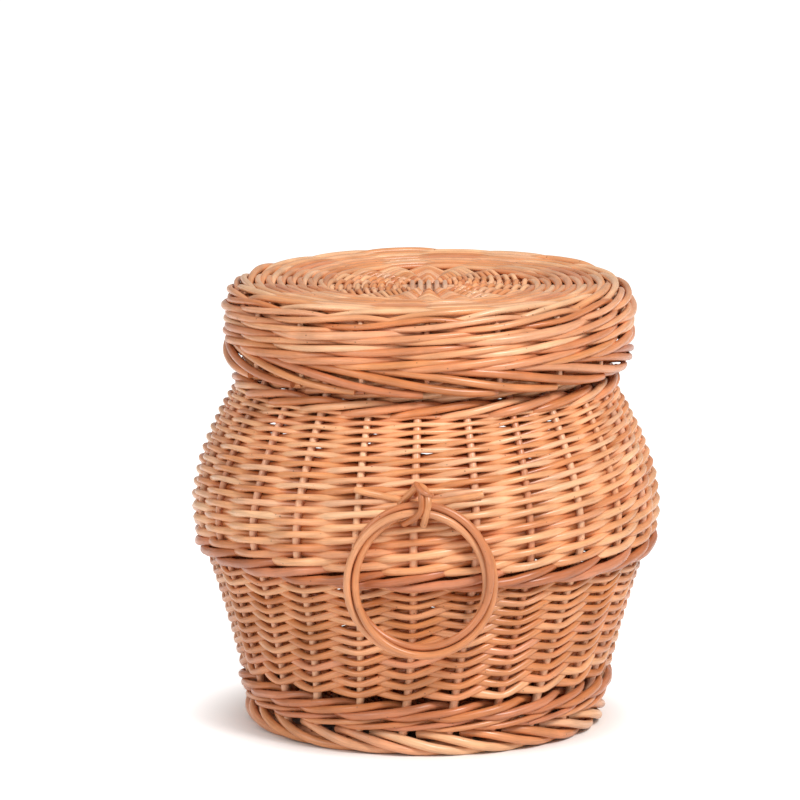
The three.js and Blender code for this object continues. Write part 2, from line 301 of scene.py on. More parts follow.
class RodSweep:
    """The node tree that turns lines of points into round rods with closed ends.

    The rods keep the attributes of their lines, and gain "section", the place round the rod's own section.
    """

    INPUTS = {"Lines": "NodeSocketGeometry", "Sides": "NodeSocketInt", "Willow": "NodeSocketMaterial"}
    PATTERN_STEP = 0.731

    def __init__(self) -> None:
        """Builds the tree."""
        self.tree = bpy.data.node_groups.new("willow_rods", "GeometryNodeTree")
        for name, kind in self.INPUTS.items():
            self.tree.interface.new_socket(name=name, in_out="INPUT", socket_type=kind)
        self.tree.interface.new_socket(name="Rods", in_out="OUTPUT", socket_type="NodeSocketGeometry")
        start = add_node(self.tree, "NodeGroupInput")
        line = add_node(self.tree, "GeometryNodeMeshToCurve", {"Mesh": start.outputs["Lines"]})
        named = {"Name": "rod_radius"}
        radius = add_node(self.tree, "GeometryNodeInputNamedAttribute", named, data_type="FLOAT")
        ring = {"Resolution": start.outputs["Sides"], "Radius": 1.0}
        circle = add_node(self.tree, "GeometryNodeCurvePrimitiveCircle", ring)
        place = add_node(self.tree, "GeometryNodeInputPosition")
        section = add_node(
            self.tree,
            "GeometryNodeStoreNamedAttribute",
            {"Geometry": circle.outputs["Curve"], "Name": "section"},
            data_type="FLOAT_VECTOR",
            domain="POINT",
        )
        self.tree.links.new(place.outputs[0], section.inputs["Value"])
        sweep = {"Curve": line.outputs[0], "Profile Curve": section.outputs[0], "Scale": radius.outputs[0]}
        swept = add_node(self.tree, "GeometryNodeCurveToMesh", {**sweep, "Fill Caps": True})
        smooth = add_node(self.tree, "GeometryNodeSetShadeSmooth", {"Geometry": swept.outputs[0]})
        real = add_node(self.tree, "GeometryNodeRealizeInstances", {"Geometry": smooth.outputs[0]})
        finish = {"Geometry": real.outputs[0], "Material": start.outputs["Willow"]}
        dressed = add_node(self.tree, "GeometryNodeSetMaterial", finish)
        add_node(self.tree, "NodeGroupOutput", {0: dressed.outputs[0]})

    def _socket(self, name: str) -> str:
        """Finds an input's identifier by its name."""
        return next(item.identifier for item in self.tree.interface.items_tree if item.name == name)

    def piece(
        self, name: str, rods: Sequence[Rod], willow: bpy.types.Material, sides: int
    ) -> bpy.types.Object:
        """Makes one plain mesh object of many rods.

        Args:
            name: The object's name.
            rods: The rods.
            willow: Their material.
            sides: How many sides a rod's section has.

        Returns:
            The object, at the origin, with its place in its mesh.
        """
        counts = [len(rod.points) for rod in rods]
        starts = np.cumsum([0, *counts[:-1]])
        points = np.concatenate([rod.points for rod in rods])
        chains = [np.arange(start, start + count) for start, count in zip(starts, counts)]
        edges = np.concatenate([np.stack([chain[:-1], chain[1:]], axis=1) for chain in chains])
        mesh = bpy.data.meshes.new(name + "_lines")
        mesh.from_pydata(points.tolist(), edges.tolist(), [])
        values = {
            "rod_radius": np.concatenate([rod.radius for rod in rods]),
            "tone": np.concatenate([rod.tones for rod in rods]),
            "blush": np.repeat([rod.blush for rod in rods], counts),
            "along": np.concatenate([self._along(rod.points, index) for index, rod in enumerate(rods)]),
        }
        for attribute, numbers in values.items():
            layer = mesh.attributes.new(attribute, "FLOAT", "POINT")
            layer.data.foreach_set("value", numbers.astype(np.float32))
        lines = bpy.data.objects.new(name + "_lines", mesh)
        bpy.context.scene.collection.objects.link(lines)
        modifier = lines.modifiers.new("rods", "NODES")
        modifier.node_group = self.tree
        modifier[self._socket("Sides")] = sides
        modifier[self._socket("Willow")] = willow
        depsgraph = bpy.context.evaluated_depsgraph_get()
        swept = bpy.data.meshes.new_from_object(lines.evaluated_get(depsgraph), depsgraph=depsgraph)
        bpy.data.objects.remove(lines)
        bpy.data.meshes.remove(mesh)
        swept.name = name
        piece = bpy.data.objects.new(name, swept)
        bpy.context.scene.collection.objects.link(piece)
        return piece

    @staticmethod
    def _along(points: np.ndarray, index: int) -> np.ndarray:
        """Measures along a rod, from a start of its own so that no two rods share a pattern.

        Args:
            points: The points along the rod's middle.
            index: The rod's number in its piece.

        Returns:
            The distance of each point, in metres.
        """
        steps = np.linalg.norm(np.diff(points, axis=0), axis=1)
        return np.concatenate([[0.0], np.cumsum(steps)]) + RodSweep.PATTERN_STEP * index


@dataclass(frozen=True)
class WeaveSurface:
    """The middle of a woven wall: a line of radii and heights, turned about the upright axis."""

    radii: np.ndarray
    heights: np.ndarray
    start_angle: float
    stakes: int = STAKE_COUNT
    unevenness: float = 0.04
    foot_lean: float = 0.0
    lean_height: float = 200 * MM
    seed: int = 7

    @cached_property
    def uneven(self) -> np.ndarray:
        """How far each stake stands from its even place, in pitches."""
        return np.random.default_rng(self.seed).normal(0.0, self.unevenness, self.stakes)

    @cached_property
    def lengths(self) -> np.ndarray:
        """The distance of each point along the line."""
        steps = np.hypot(np.diff(self.radii), np.diff(self.heights))
        return np.concatenate([[0.0], np.cumsum(steps)])

    @cached_property
    def normals(self) -> tuple[np.ndarray, np.ndarray]:
        """The outward direction at each point, as a share of radius and a share of height."""
        along_radius = np.gradient(self.radii, self.lengths)
        along_height = np.gradient(self.heights, self.lengths)
        size = np.hypot(along_radius, along_height)
        return along_height / size, -along_radius / size

    def length_at(self, height: float) -> float:
        """Gives the place along the line at a height, where the line only rises."""
        return float(np.interp(height, self.heights, self.lengths))

    def place(self, turn: np.ndarray, along: np.ndarray, out: np.ndarray) -> np.ndarray:
        """Places points on the surface.

        Args:
            turn: How far round, in stake pitches.
            along: How far up the line.
            out: How far out from the middle of the wall.

        Returns:
            The points.
        """
        radius = np.interp(along, self.lengths, self.radii)
        radius = radius + out * np.interp(along, self.lengths, self.normals[0])
        middle = np.interp(along, self.lengths, self.heights)
        height = middle + out * np.interp(along, self.lengths, self.normals[1])
        shift = np.interp(turn, np.arange(self.stakes), self.uneven, period=self.stakes)
        lean = self.foot_lean * np.clip(1 - middle / self.lean_height, 0, 1) ** 2
        angle = self.start_angle + (turn + shift - lean) * 2 * math.pi / self.stakes
        return np.stack([radius * np.cos(angle), radius * np.sin(angle), height], axis=1)


def bent_wave(phase: np.ndarray, sharpness: float = 0.97) -> np.ndarray:
    """Gives the way of a rod in front of one stake and behind the next: nearly straight from stake to stake.

    Args:
        phase: The place in stakes; the rod is in front at even ones.
        sharpness: How tightly the rod bends at a stake, up to 1.

    Returns:
        One in front, minus one behind.
    """
    return np.arcsin(sharpness * np.cos(math.pi * phase)) / math.asin(sharpness)


@dataclass(frozen=True)
class Randing:
    """A stretch of wall with one rod for each stake, all woven upwards side by side.

    Each rod passes in front of one stake and behind the next, and climbs one row at each stake. So those in
    front lie level with each other, and the rods thin from their butts to their tips. The climb says how much
    of a pair of rows lies between a stroke in front and the next behind; the other shares say how much
    thicker a rod is behind a stake or where it crosses between two, and how much painted shade deepens its
    colour behind a stake.
    """

    surface: WeaveSurface
    low: float
    high: float
    pairs: int
    taper: float
    seed: int
    fullness: float = 1.34
    climb: float = -0.12
    pressed: float = 0.78
    fuller_behind: float = 0.21
    fuller_crossing: float = 0.03
    painted_shade_behind: float = 0.5
    stake_radius: float = STAKE_RADIUS
    butt_reach: float = 0.9
    tip_reach: float = 0.4
    settling: float = 0.6 * MM
    jitter: float = 0.2 * MM
    size_spread: float = 0.04
    least_row: float = 0.5

    def _height(self, pair: np.ndarray) -> np.ndarray:
        """Gives the height that a number of pairs of rows reaches."""
        share = np.clip(pair / self.pairs, 0, 1)
        return self.low + (self.high - self.low) * share * (1 + self.taper * (1 - share))

    def rods(self) -> list[Rod]:
        """Weaves the wall.

        Returns:
            One rod for each stake.
        """
        maker = RodMaker(self.seed)
        settled = self._settled(maker)
        last = 2 * self.pairs - 1 + self.tip_reach
        stroke = np.linspace(-self.butt_reach, last, int((last + self.butt_reach) * STEPS_PER_PITCH) + 1)
        bent = bent_wave(stroke)
        pair = 0.5 + stroke / 2 + self.climb * (1 - bent) / 2
        heights, lengths = self.surface.heights, self.surface.lengths
        quarter = 0.25
        below, along, above = (
            np.interp(self._height(pair + step), heights, lengths) for step in (-quarter, 0, quarter)
        )
        row = above - below
        row = np.maximum(row, self.least_row * np.interp(pair, [0, self.pairs], [row[1], row[-2]]))
        shape = 1 - self.fuller_behind * bent + self.fuller_crossing * (1 - bent**2)
        rods = []
        for stake in range(self.surface.stakes):
            size = self.fullness * row * shape * maker.draw.normal(1.0, self.size_spread)
            jitter = maker.draw.normal(0.0, self.jitter, 2 * self.pairs + 2)
            turn = stake + stroke
            height = along + self._at(settled, turn, 2 * pair)
            height += np.interp(stroke, np.arange(-1, 2 * self.pairs + 1), jitter)
            out = self.pressed * (self.stake_radius + size / 2) * bent
            rod = maker.rod(self.surface.place(turn, height, out), size / 2)
            # Painted shade: a rod's tone is deepened where it passes behind a stake, in the shaded slots
            rods.append(replace(rod, tones=rod.tones + self.painted_shade_behind * np.maximum(-bent, 0)))
        return rods

    def _settled(self, maker: RodMaker) -> np.ndarray:
        """Draws how far the weaving has settled from its even height.

        Args:
            maker: The bundle, whose draws it takes.

        Returns:
            The settling for each stake and row.
        """
        loose = maker.draw.normal(0.0, self.settling, (self.surface.stakes, 2 * self.pairs + 5))
        beside = loose + np.roll(loose, 1, axis=0) + np.roll(loose, -1, axis=0)
        return (beside[:, :-2] + beside[:, 1:-1] + beside[:, 2:]) / 5

    def _at(self, settled: np.ndarray, turn: np.ndarray, row: np.ndarray) -> np.ndarray:
        """Reads the settling between stakes and rows.

        Args:
            settled: The settling at each stake and row.
            turn: The places round the wall, in stakes.
            row: The places up the wall, in rows.

        Returns:
            The settling at each place.
        """
        stake = np.floor(turn).astype(int)
        level = np.clip(np.floor(row).astype(int), 0, settled.shape[1] - 2)
        up = np.clip(row - level, 0, 1)
        sides = []
        for column in (stake % self.surface.stakes, (stake + 1) % self.surface.stakes):
            sides.append(settled[column, level] * (1 - up) + settled[column, level + 1] * up)
        across = turn - stake
        return sides[0] * (1 - across) + sides[1] * across


@dataclass(frozen=True)
class Wale:
    """A thick band: three rods that each pass in front of two stakes, climb over the others, go behind one."""

    surface: WeaveSurface
    along: float
    diameter: float
    seed: int
    stake_radius: float = STAKE_RADIUS
    first_stake: int = 0
    deep: float = 0.2
    spread: float = 0.05
    climb: float = 0.7
    strokes: int = 3
    overlap: float = 0.3
    swings: tuple[float, float, float] = (0.56, 1.04, -0.52)
    butt_size: float = 1.06
    thinning: float = 0.12
    looseness: float = 0.06

    def rods(self) -> list[Rod]:
        """Weaves the band, round a number of stakes that the strands share out evenly.

        Returns:
            The rods, one for each strand, with their ends behind stakes.
        """
        maker = RodMaker(self.seed, self.deep)
        stakes = self.surface.stakes
        rods = []
        for strand in range(self.strokes):
            turns = int(maker.draw.integers(stakes // self.strokes))
            start = self.first_stake + strand + self.strokes * turns
            steps = int((stakes + 2 * self.overlap) * STEPS_PER_PITCH) + 1
            turn = np.linspace(start - self.overlap, start + stakes + self.overlap, steps)
            size = self.diameter * maker.draw.normal(1.0, self.spread)
            sizes = size * (self.butt_size - self.thinning * np.linspace(0, 1, len(turn)))
            phase = (turn - self.first_stake - strand) % self.strokes
            swing = np.cos(2 * math.pi * (phase - 1.5) / self.strokes)
            even, once, twice = self.swings
            out = (self.stake_radius + sizes / 2) * (even + once * swing + twice * swing**2)
            rise = np.where(
                (phase >= 0.5) & (phase <= 2.5),
                -np.cos(math.pi * (phase - 0.5) / 2),
                np.cos(math.pi * ((phase - 2.5) % self.strokes)),
            )
            loose = maker.draw.normal(0.0, self.looseness * self.diameter, stakes)
            along = self.along + self.climb * self.diameter * rise
            along += np.interp(turn, np.arange(stakes), loose, period=stakes)
            rods.append(maker.rod(self.surface.place(turn, along, out), sizes / 2))
        return rods


@dataclass(frozen=True)
class Pairing:
    """One round of two rods twisted about each other, with a spoke held in each half turn."""

    surface: WeaveSurface
    along: float
    diameter: float
    spokes: int
    seed: int
    spoke_radius: float = 3.0 * MM
    spoke_shift: float = 0.0
    lean: float = 0.5
    overlap: float = 0.3
    coarseness: float = 0.9

    def rods(self) -> list[Rod]:
        """Weaves the round.

        Returns:
            Its two rods.
        """
        maker = RodMaker(self.seed)
        rods = []
        pitch = self.surface.stakes / self.spokes
        cut = int(maker.draw.integers(0, self.spokes // 2)) * 2
        for strand in range(2):
            first = cut + strand + 1
            steps = int(self.spokes * STEPS_PER_PITCH * self.coarseness)
            spoke = np.linspace(first - self.overlap, first + self.spokes + self.overlap, steps)
            size = self.diameter * maker.draw.normal(1.0, 0.05)
            share = (spoke - spoke[0]) / (spoke[-1] - spoke[0])
            sizes = size * (1.05 - 0.1 * share)
            out = (self.spoke_radius + sizes / 2) * bent_wave(spoke + strand)
            along = self.along - self.lean * self.diameter * np.sin(math.pi * (spoke + strand))
            turn = self.spoke_shift + spoke * pitch
            rods.append(maker.rod(self.surface.place(turn, along, out), sizes / 2))
        return rods


@dataclass(frozen=True)
class RodBorder:
    """A rolled edge: each stake is laid down over the edge and runs slantwise round it past the next few."""

    radius: float
    height: float
    half_width: float
    half_height: float
    diameter: float
    reach: float
    start_angle: float
    from_roll: float
    to_roll: float
    seed: int
    count: int = STAKE_COUNT
    deep: float = 0.1
    inward: float = 0.0
    haste: float = 1.0
    steps: int = 24

    def rods(self) -> list[Rod]:
        """Lays the border down.

        Returns:
            One rod for each stake.
        """
        maker = RodMaker(self.seed, self.deep)
        rods = []
        for stake in range(self.count):
            reach = self.reach * maker.draw.normal(1.0, 0.02)
            share = np.linspace(0, 1, self.steps)
            size = self.diameter * maker.draw.normal(1.0, 0.05)
            sizes = size * (1.06 - 0.16 * share)
            rolled = 1 - (1 - share) ** self.haste
            roll = np.radians(self.from_roll + (self.to_roll - self.from_roll) * rolled)
            angle = self.start_angle + (stake + maker.draw.normal(0.0, 0.06)) * 2 * math.pi / self.count
            angle = angle + share * reach
            radius = self.radius + self.half_width * np.cos(roll) - self.inward * (1 - share) ** 2
            height = self.height + self.half_height * np.sin(roll) + maker.draw.normal(0.0, 0.4 * MM)
            points = np.stack([radius * np.cos(angle), radius * np.sin(angle), height], axis=1)
            rods.append(maker.rod(points, sizes / 2))
        return rods


@dataclass(frozen=True)
class Stakes:
    """The upright rods in the middle of a wall."""

    surface: WeaveSurface
    low: float
    high: float
    diameter: float
    seed: int
    steps: int = 48

    def rods(self) -> list[Rod]:
        """Stands the stakes up.

        Returns:
            One rod for each stake.
        """
        maker = RodMaker(self.seed, -0.1)
        rods = []
        along = np.linspace(self.low, self.high, self.steps)
        for stake in range(self.surface.stakes):
            share = np.linspace(0, 1, self.steps)
            sway = 0.018 * np.sin(2 * math.pi * (share * 1.3 + maker.draw.uniform()))
            size = self.diameter * maker.draw.normal(1.0, 0.04)
            points = self.surface.place(stake + sway, along, np.zeros(self.steps))
            rods.append(maker.rod(points, 0.5 * size * (1.05 - 0.14 * share)))
        return rods


@dataclass(frozen=True)
class StickCross:
    """The cross that a disc starts from: through sticks drawn through split ones, fanned out to spokes."""

    height: float
    reach: float
    seed: int
    through: int
    split: int
    diameter: float = 7.2 * MM
    pitch: float = 7.9 * MM
    straight_half: float = 30 * MM
    split_rise: float = 5.6 * MM
    half_rise: float = 0.28
    half_radius: float = 0.36
    slit: float = 0.75
    bend_reach: float = 0.35
    bend_share: float = 0.3

    def rods(self) -> list[Rod]:
        """Lays the cross.

        Returns:
            The through sticks whole and the split sticks as two halves each.
        """
        maker = RodMaker(self.seed, -0.2)
        spread = 2 * math.pi / (2 * (self.through + self.split))
        rods = []
        for place in self._places(self.through):
            line = self._stick(place * self.pitch, place * spread)
            rods.append(maker.rod(self._raised(line, np.zeros(len(line))), self.diameter / 2))
        laid = self.half_rise * self.diameter
        for place in self._places(self.split):
            line = self._stick(place * self.pitch, place * spread)
            across = np.stack([-line[:, 1], line[:, 0]], axis=1)
            opened = 1 / (1 + (np.abs(line[:, 0]) / (self.slit * self.straight_half)) ** 6)
            for half in (1, -1):
                rise = half * (laid + (self.split_rise - laid) * opened)
                rods.append(maker.rod(self._raised(across, rise), self.half_radius * self.diameter))
        return rods

    @staticmethod
    def _places(count: int) -> list[float]:
        """Gives the places of a number of sticks side by side, counted from their middle."""
        return [index - (count - 1) / 2 for index in range(count)]

    def _stick(self, aside: float, fan: float) -> np.ndarray:
        """Draws a stick in plan, along X, from one end to the other.

        Args:
            aside: How far its straight middle lies from the centre.
            fan: The angle to which its end opens out.

        Returns:
            The points in plan.
        """
        bend = np.array([self.straight_half, aside])
        end = self.reach * np.array([math.cos(fan), math.sin(fan)])
        bent_aside = aside + self.bend_share * (end[1] - aside)
        middle = np.array([self.straight_half + self.bend_reach * self.reach, bent_aside])
        share = np.linspace(0, 1, 12)[:, None]
        arm = (1 - share) ** 2 * bend + 2 * share * (1 - share) * middle + share**2 * end
        core = np.stack([np.linspace(0, self.straight_half, 8)[:-1], np.full(7, aside)], axis=1)
        half = np.concatenate([core, arm])
        return np.concatenate([half[:0:-1] * [-1, 1], half])

    def _raised(self, plan: np.ndarray, rise: np.ndarray) -> np.ndarray:
        """Gives a stick's points their height."""
        return np.column_stack([plan, self.height + rise])


@dataclass(frozen=True)
class Dresser:
    """Makes a piece of rods, dresses it and fixes it to its body."""

    sweep: RodSweep
    materials: Mapping[Finish, bpy.types.Material]

    def dress(
        self,
        name: str,
        rods: Sequence[Rod],
        finish: Finish,
        body: str,
        nodes: Iterable[str] = (),
        sides: int = 8,
    ) -> bpy.types.Object:
        """Makes one piece.

        Args:
            name: The piece's name.
            rods: Its rods.
            finish: Its finish.
            body: The body that it rides on.
            nodes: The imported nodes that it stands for.
            sides: How many sides its rods have.

        Returns:
            The piece.
        """
        piece = self.sweep.piece(name, rods, self.materials[finish], sides)
        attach(piece, body)
        if nodes:
            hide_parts(*nodes)
        LOG.info("%s: %d rods, %d faces", name, len(rods), len(piece.data.polygons))
        return piece


@dataclass(frozen=True)
class Body:
    """The basket itself: stakes, siding, wales, foot and rim."""

    foot_radius: float = 172 * MM
    waist_radius: float = 222 * MM
    belly_pull: float = 24 * MM
    shoulder_pull: float = 29 * MM
    neck_radius: float = 181 * MM
    waist_height: float = 183 * MM
    neck_height: float = 345 * MM
    top_height: float = 391 * MM
    lower_hollow: float = 9 * MM
    belly_rise: float = 0.25
    shoulder_rise: float = 0.72
    wall_thickness: float = 18 * MM
    foot_lean: float = 0.42
    foot_wales: tuple[tuple[float, float], ...] = ((31.5 * MM, 5.4 * MM), (44.5 * MM, 7.8 * MM))
    stake_foot: float = 17 * MM
    lower_span: tuple[float, float] = (55 * MM, 177.5 * MM)
    upper_span: tuple[float, float] = (188.3 * MM, 334.5 * MM)
    waist_wale_diameter: float = 9.6 * MM
    shoulder_wale_height: float = 336.8 * MM
    shoulder_wale_diameter: float = 7.6 * MM
    neck_start: float = 347 * MM
    stake_diameter: float = 8.0 * MM

    @cached_property
    def surface(self) -> WeaveSurface:
        """The middle of the wall, from the floor to the top of the neck."""
        share = np.linspace(0, 1, 200)
        left = 1 - share
        lower_middle = (self.foot_radius + self.waist_radius) / 2 - self.lower_hollow
        lower_radii = left**2 * self.foot_radius + 2 * share * left * lower_middle
        lower_radii += share**2 * self.waist_radius
        rise = self.neck_height - self.waist_height
        pulls = (
            (self.waist_radius, self.waist_height),
            (self.waist_radius + self.belly_pull, self.waist_height + rise * self.belly_rise),
            (self.neck_radius + self.shoulder_pull, self.waist_height + rise * self.shoulder_rise),
            (self.neck_radius, self.neck_height),
        )
        weights = np.stack([left**3, 3 * share * left**2, 3 * share**2 * left, share**3], axis=1)
        upper = weights @ np.array(pulls)
        neck_heights = np.linspace(self.neck_height, self.top_height, 40)[1:]
        neck_radii = np.full(len(neck_heights), self.neck_radius)
        radii = np.concatenate([lower_radii[:-1], upper[:, 0], neck_radii])
        heights = np.concatenate([share[:-1] * self.waist_height, upper[:, 1], neck_heights])
        middle = radii - self.wall_thickness / 2
        return WeaveSurface(middle, heights, STAKE_TURN - math.pi / 2, foot_lean=self.foot_lean)

    def build(self, dresser: Dresser) -> None:
        """Builds and dresses the basket."""
        at = self.surface.length_at
        stakes = Stakes(self.surface, at(self.stake_foot), at(self.top_height), self.stake_diameter, seed=11)
        names = [f"stake_{number:02d}" for number in range(1, STAKE_COUNT + 1)]
        dresser.dress("upright_stakes", stakes.rods(), Finish.PALE, "basket", names, sides=10)
        self._rows(dresser)
        self._wales(dresser)
        self._borders(dresser)

    def _rows(self, dresser: Dresser) -> None:
        """Weaves the rows between the wales."""
        lower = Randing(
            self.surface, *self.lower_span, pairs=12, taper=0.15, seed=21,
            fullness=1.38, climb=0.8, fuller_behind=0.24, fuller_crossing=0.14,
        )
        # Painted shade: the lower rows take the browner, shaded copy of the plain willow
        dresser.dress("lower_rows", lower.rods(), Finish.SHADED, "basket", ["lower_siding"])
        upper = Randing(self.surface, *self.upper_span, pairs=15, taper=0.38, seed=22, fuller_crossing=0.07)
        dresser.dress("upper_rows", upper.rods(), Finish.WILLOW, "basket", ["upper_siding"])
        neck = Randing(
            self.surface, self.neck_start, self.top_height, pairs=4, taper=0.1, seed=23,
            fullness=1.42, fuller_crossing=0.16,
        )
        dresser.dress("neck_rows", neck.rods(), Finish.WILLOW, "basket", ["neck_siding"])

    def _wales(self, dresser: Dresser) -> None:
        """Weaves the thick bands at the foot, the waist and the shoulder."""
        waist = ((self.waist_height, self.waist_wale_diameter),)
        shoulder = ((self.shoulder_wale_height, self.shoulder_wale_diameter),)
        for name, bands, finish, seed, first_stake in (
            ("foot_wale", self.foot_wales, Finish.DEEP, 31, 0),
            ("waist_wale", waist, Finish.DEEP, 34, 1),
            ("shoulder_wale", shoulder, Finish.WILLOW, 35, 2),
        ):
            rods: list[Rod] = []
            for number, (height, diameter) in enumerate(bands):
                along = self.surface.length_at(height)
                band = Wale(self.surface, along, diameter, seed + number, first_stake=first_stake + number)
                rods += band.rods()
            dresser.dress(name + "_rods", rods, finish, "basket", [name], sides=10)

    def _borders(self, dresser: Dresser) -> None:
        """Lays down the rolled edges at the foot and at the rim."""
        foot = RodBorder(
            radius=164.0 * MM, height=12.4 * MM, half_width=8.6 * MM, half_height=8.2 * MM,
            diameter=8.6 * MM, reach=math.radians(64), start_angle=self.surface.start_angle,
            from_roll=112, to_roll=-165, seed=41, haste=1.7,
        )
        dresser.dress("foot_border_rods", foot.rods(), Finish.WILLOW, "basket", ["foot_border"], sides=10)
        rim = RodBorder(
            radius=172 * MM, height=396.4 * MM, half_width=5.6 * MM, half_height=3.0 * MM,
            diameter=5.4 * MM, reach=math.radians(46), start_angle=self.surface.start_angle,
            from_roll=-110, to_roll=150, seed=42,
        )
        dresser.dress("rim_border_rods", rim.rods(), Finish.WILLOW, "basket", ["rim_border"])


@dataclass(frozen=True)
class DiscWeave:
    """Rounds on a disc, thicker from the centre out: pairing, then three-rod wales beyond a given radius."""

    height: float
    radius: float
    inner_radius: float
    stick_reach: float
    seed: int
    spokes_beside_sticks: int = 12
    spokes: int = STAKE_COUNT
    waled_from: float = 1.0
    dish: float = 0.0
    inner_diameter: float = 4.6 * MM
    outer_diameter: float = 6.4 * MM
    round_pitch: float = 1.62
    wale_pitch: float = 1.85
    wale_climb: float = 0.55
    spoke_diameter: float = 5.6 * MM
    stick_radius: float = 3.6 * MM
    let_in: float = 14 * MM
    flattened: float = 0.7
    overreach: float = 5 * MM
    spoke_steps: int = 24

    @cached_property
    def surface(self) -> WeaveSurface:
        """The middle of the disc, from its centre out, facing up."""
        radii = np.linspace(self.radius + self.overreach, HUB, 100)
        heights = self.height + self.dish * (radii / radii[0]) ** 2
        return WeaveSurface(radii, heights, math.pi / self.spokes, self.spokes, unevenness=0.0)

    def _along(self, radius: float) -> float:
        """Gives the place on the surface, from its outer edge, that lies at a radius."""
        return self.surface.lengths[-1] + HUB - radius

    def _diameter(self, radius: float) -> float:
        """Gives the diameter of the rods at a radius: the outer ones are thicker."""
        share = (radius - self.inner_radius) / (self.radius - self.inner_radius)
        return self.inner_diameter + (self.outer_diameter - self.inner_diameter) * share

    def let_in_spokes(self) -> list[Rod]:
        """Lays the spokes that are let in beside the sticks.

        Returns:
            One rod for each spoke.
        """
        maker = RodMaker(self.seed + 1, -0.1)
        reach = np.linspace(self.stick_reach - self.let_in, self.radius, self.spoke_steps)
        along = self.surface.lengths[-1] - reach
        flat = np.zeros(self.spoke_steps)
        lines = [self.surface.place(spoke + flat, along, flat) for spoke in range(self.spokes)]
        return [maker.rod(line, self.spoke_diameter / 2) for line in lines]

    def rods(self) -> list[Rod]:
        """Weaves the rounds.

        Returns:
            Two rods for each round of pairing and three for each wale.
        """
        rods: list[Rod] = []
        radius = self.inner_radius
        seed = self.seed + 10
        while radius < min(self.radius, self.waled_from):
            beside_sticks = radius < self.stick_reach
            spokes = self.spokes_beside_sticks if beside_sticks else self.spokes
            diameter = self._diameter(radius)
            rods += Pairing(
                self.surface, self._along(radius), diameter, spokes, seed,
                spoke_radius=self.stick_radius if beside_sticks else self.spoke_diameter / 2,
                spoke_shift=0.5 * (self.spokes / spokes - 1),
            ).rods()
            radius += self.round_pitch * diameter
            seed += 1
        room = self.radius - radius
        count = math.ceil(room / (self.wale_pitch * self.outer_diameter)) if room > 0 else 0
        for waled in np.linspace(radius, self.radius, count + 1) if count else ():
            rods += Wale(
                self.surface, self._along(waled), self._diameter(waled), seed,
                stake_radius=self.flattened * self.spoke_diameter / 2,
                first_stake=(seed - self.seed - 10) % 3, deep=0.0, climb=self.wale_climb,
            ).rods()
            seed += 1
        return rods


@dataclass(frozen=True)
class Base:
    """The woven disc in the foot."""

    height: float = 29 * MM
    radius: float = 150 * MM
    inner_radius: float = 37 * MM
    stick_reach: float = 70 * MM

    def build(self, dresser: Dresser) -> None:
        """Builds and dresses the base."""
        sticks = StickCross(self.height, self.stick_reach, seed=51, through=3, split=3)
        nodes = [f"base_{kind}_stick_{number}" for kind in ("through", "split") for number in (1, 2, 3)]
        disc = DiscWeave(self.height, self.radius, self.inner_radius, self.stick_reach, seed=52)
        dresser.dress("base_sticks", [*sticks.rods(), *disc.let_in_spokes()], Finish.PALE, "basket", nodes)
        dresser.dress("base_rounds", disc.rods(), Finish.WILLOW, "basket", ["base_weave"])


